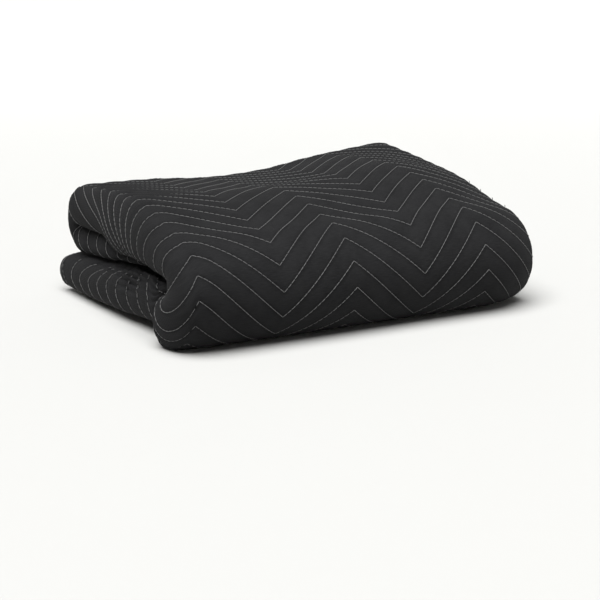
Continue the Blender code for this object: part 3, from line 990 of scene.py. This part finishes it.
def arms(start, end):
    """Stretches of a zigzag between its corners, within a stretch of the width."""
    half = ZIGZAG_PERIOD / 2
    first = math.ceil((start - FIRST_CORNER) / half)
    last = math.floor((end - FIRST_CORNER) / half)
    corners = [FIRST_CORNER + half * i for i in range(first, last + 1)]
    places = [start] + [corner for corner in corners if start < corner < end] + [end]
    return list(zip(places, places[1:]))


def quilting_lines(start, end, shows):
    """Lines of thread within a stretch of the width, where the place on the cloth shows."""
    lines = []
    for row in stitch_rows():
        for arm_start, arm_end in arms(start, end):
            line = []
            for u in [arm_start] + paced(arm_start, arm_end, THREAD_DRAW):
                v = row + zigzag(u)
                if HEM_WIDTH < v < PAD_LENGTH - HEM_WIDTH and shows(u, v):
                    line.append(on_cover(u, v))
                elif len(line) > 1:
                    lines.append(line)
                    line = []
                else:
                    line = []
            if len(line) > 1:
                lines.append(line)
    return lines


LEFT_SEWN = (LEFT_FLAP + LEFT_FLAP_CLEAR, MIDDLE_START)
MIDDLE_SEWN = (MIDDLE_START, MIDDLE_END)
RIGHT_SEWN = (MIDDLE_END, RIGHT_BEND_END - RIGHT_FLAP_CLEAR)


def wrapped_outside(u, v):
    """True on the front roll, the top and the back bend, clear of the floor."""
    on_outside = ROLL_START + ROLL_CLEAR < v < BACK_END - BACK_CLEAR
    return on_outside and placed(u, v, 1)[2] > FACE_OFF_FLOOR


def above_floor(u, v):
    """True where the thread doesn't lie against the floor."""
    return placed(u, v, 1)[2] > END_OFF_FLOOR


def hem_lines():
    """The thread that holds the two hems at the back, where it doesn't lie against the floor."""
    lines = []
    for v in (HEM_STITCH_INSET, PAD_LENGTH - HEM_STITCH_INSET):
        line = [on_cover(u, v) for u in paced(HEM_STITCH_INSET, PAD_WIDTH - HEM_STITCH_INSET, THREAD_DRAW)]
        line = [pair for pair in line if pair[0][2] > HEM_OFF_FLOOR]
        if len(line) > 1:
            lines.append(line)
    return lines


def finish_piece(name, mesh):
    """Link a finished mesh as a piece that rides on the pad."""
    piece = bpy.data.objects.new(name, mesh)
    bpy.context.scene.collection.objects.link(piece)
    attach(piece, "root")
    return piece


class PadSettings(bpy.types.PropertyGroup):
    """Sizes and colours of the cover and its thread."""

    cloth_dark: bpy.props.StringProperty(
        name="Cloth, dark", description="The cloth's darker colour, in hex", default="#141415"
    )
    cloth_light: bpy.props.StringProperty(
        name="Cloth, light", description="The cloth's lighter colour, in hex", default="#202021"
    )
    thread_dark: bpy.props.StringProperty(
        name="Thread, dark", description="The thread's darker colour, in hex", default="#4e4e4e"
    )
    thread_light: bpy.props.StringProperty(
        name="Thread, light", description="The thread's lighter colour, in hex", default="#636363"
    )
    # The weave and the thread are drawn coarser than real ones, which wouldn't show
    thread_spacing: bpy.props.FloatProperty(
        name="Thread spacing", description="Spacing of the weave's threads", default=0.0012,
        unit="LENGTH", precision=4,
    )
    stitch_pitch: bpy.props.FloatProperty(
        name="Stitch pitch", description="Length of one stitch", default=0.0078, unit="LENGTH", precision=4
    )
    stitch_gap: bpy.props.FloatProperty(
        name="Stitch gap", description="Gap at a needle's hole", default=0.0003, unit="LENGTH", precision=4
    )
    stitch_dip: bpy.props.FloatProperty(
        name="Stitch dip", description="How deep a stitch's ends dip", default=0.0007, unit="LENGTH",
        precision=4,
    )
    thread_width: bpy.props.FloatProperty(
        name="Thread width", description="Width of the sewing thread", default=0.0011, unit="LENGTH",
        precision=4,
    )


class StageSettings(bpy.types.PropertyGroup):
    """Light and floor around the pad."""

    floor_colour: bpy.props.StringProperty(
        name="Floor", description="The floor's colour, in hex", default="#b7b7b5"
    )
    key_strength: bpy.props.FloatProperty(
        name="Key light", description="Strength of the light from above", default=6.3
    )
    sky: bpy.props.FloatProperty(name="Sky", description="Strength of the even light", default=0.10)


class PAD_OT_cover(bpy.types.Operator):
    """Build the quilted cover, folded as it is stored"""

    bl_idname = "moving_pad.cover"
    bl_label = "Quilted cover"

    def execute(self, context):
        mesh = cover_mesh()
        mesh.materials.append(woven_cover_cloth(context.scene.moving_pad))
        piece = finish_piece(COVER, mesh)
        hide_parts("quilted_pad")
        return {"FINISHED"}


class PAD_OT_stitches(bpy.types.Operator):
    """Sew the zigzag rows that quilt the cover, and its hems"""

    bl_idname = "moving_pad.stitches"
    bl_label = "Stitches"

    def execute(self, context):
        settings = context.scene.moving_pad
        material = spun_thread(settings)
        groups = {
            "face_stitches": quilting_lines(*MIDDLE_SEWN, wrapped_outside),
            "left_end_stitches": quilting_lines(*LEFT_SEWN, above_floor),
            "right_end_stitches": quilting_lines(*RIGHT_SEWN, above_floor),
            "hem_stitches": hem_lines(),
        }
        for name, lines in groups.items():
            mesh = sewn_mesh(name, lines, settings, material)
            finish_piece(name, mesh)
        return {"FINISHED"}


# The camera stands where the photograph was taken from, in metres and degrees
CAMERA_PLACE = (-0.9682, -1.6728, 0.4438)
CAMERA_YAW = 30.06
CAMERA_PITCH = 13.0
CAMERA_LENS = 73.2
SENSOR_WIDTH = 36.0

# The floor is a disc that sweeps up into a low wall all round: its radius, the radius of the sweep
# and the height of the wall
FLOOR_RADIUS = 7.0
SWEEP_RADIUS = 2.5
WALL_HEIGHT = 3.0
SWEEP_STEPS = 16
SWEEP_SIDES = 96

# The light is so far off that it falls evenly: where it comes from, and how wide it looks
KEY_FROM = (-0.62, -0.55, 2.2)
KEY_WIDTH = math.radians(55)


def matt_floor(settings):
    """Painted board, matt and pale."""
    material, tree = new_material("matt_painted_floor")
    shader = add_node(
        tree, "ShaderNodeBsdfPrincipled", {"Base Color": linear(settings.floor_colour), "Roughness": 0.9}
    )
    add_node(tree, "ShaderNodeOutputMaterial", {"Surface": shader.outputs[0]})
    return material


def sweep_mesh():
    """A round floor that sweeps up into a wall, with its faces towards the pad."""
    bm = bmesh.new()
    middle = bm.verts.new((0.0, 0.0, 0.0))
    profile = [(FLOOR_RADIUS / 2, 0.0)]
    for i in range(SWEEP_STEPS + 1):
        angle = math.pi / 2 * i / SWEEP_STEPS
        across = FLOOR_RADIUS - SWEEP_RADIUS + SWEEP_RADIUS * math.sin(angle)
        profile.append((across, SWEEP_RADIUS * (1 - math.cos(angle))))
    profile.append((FLOOR_RADIUS, WALL_HEIGHT))
    rings = []
    for across, up in profile:
        turns = [2 * math.pi * i / SWEEP_SIDES for i in range(SWEEP_SIDES)]
        rings.append([bm.verts.new((across * math.cos(a), across * math.sin(a), up)) for a in turns])
    for i in range(SWEEP_SIDES):
        after = (i + 1) % SWEEP_SIDES
        bm.faces.new((middle, rings[0][i], rings[0][after]))
        for inner, outer in zip(rings, rings[1:]):
            bm.faces.new((inner[i], outer[i], outer[after], inner[after]))
    mesh = bpy.data.meshes.new("floor")
    bm.to_mesh(mesh)
    bm.free()
    mesh.shade_smooth()
    return mesh


def soft_light(name, place, width, strength):
    """A wide, distant light that shines from a place towards the pad."""
    lamp = bpy.data.lights.new(name, "SUN")
    lamp.angle = width
    lamp.energy = strength
    light = bpy.data.objects.new(name, lamp)
    light.location = place
    light.rotation_euler = (-Vector(place)).to_track_quat("-Z", "Y").to_euler()
    bpy.context.scene.collection.objects.link(light)


class PAD_OT_stage(bpy.types.Operator):
    """Set up the floor, the light and the camera"""

    bl_idname = "moving_pad.stage"
    bl_label = "Stage"

    def execute(self, context):
        settings = context.scene.moving_pad_stage
        mesh = sweep_mesh()
        mesh.materials.append(matt_floor(settings))
        floor = bpy.data.objects.new("floor", mesh)
        context.scene.collection.objects.link(floor)

        soft_light("key_light", KEY_FROM, KEY_WIDTH, settings.key_strength)
        world = bpy.data.worlds.new("even_light")
        world.use_nodes = True
        sky = world.node_tree.nodes["Background"]
        sky.inputs["Color"].default_value = (1.0, 1.0, 1.0, 1.0)
        sky.inputs["Strength"].default_value = settings.sky
        context.scene.world = world
        context.scene.view_settings.view_transform = "Standard"

        lens = bpy.data.cameras.new("camera")
        lens.lens = CAMERA_LENS
        lens.sensor_width = SENSOR_WIDTH
        camera = bpy.data.objects.new("camera", lens)
        camera.location = CAMERA_PLACE
        camera.rotation_euler = (math.radians(90.0 - CAMERA_PITCH), 0.0, math.radians(-CAMERA_YAW))
        context.scene.collection.objects.link(camera)
        context.scene.camera = camera
        return {"FINISHED"}


class PAD_PT_panel(bpy.types.Panel):
    """Lists the pad's pieces and their sizes"""

    bl_label = "Moving pad"
    bl_idname = "PAD_PT_panel"
    bl_space_type = "VIEW_3D"
    bl_region_type = "UI"
    bl_category = "Moving pad"

    def draw(self, context):
        for settings in (context.scene.moving_pad, context.scene.moving_pad_stage):
            for name in settings.__annotations__:
                self.layout.prop(settings, name)
        for operator in OPERATORS:
            self.layout.operator(operator.bl_idname)


OPERATORS = (PAD_OT_cover, PAD_OT_stitches, PAD_OT_stage)
CLASSES = (PadSettings, StageSettings, *OPERATORS, PAD_PT_panel)


def register():
    for kind in CLASSES:
        bpy.utils.register_class(kind)
    bpy.types.Scene.moving_pad = bpy.props.PointerProperty(type=PadSettings)
    bpy.types.Scene.moving_pad_stage = bpy.props.PointerProperty(type=StageSettings)


def unregister():
    del bpy.types.Scene.moving_pad_stage
    del bpy.types.Scene.moving_pad
    for kind in reversed(CLASSES):
        bpy.utils.unregister_class(kind)


def main():
    register()
    bpy.ops.moving_pad.cover()
    bpy.ops.moving_pad.stitches()
    bpy.ops.moving_pad.stage()


if __name__ == "__main__":
    main()
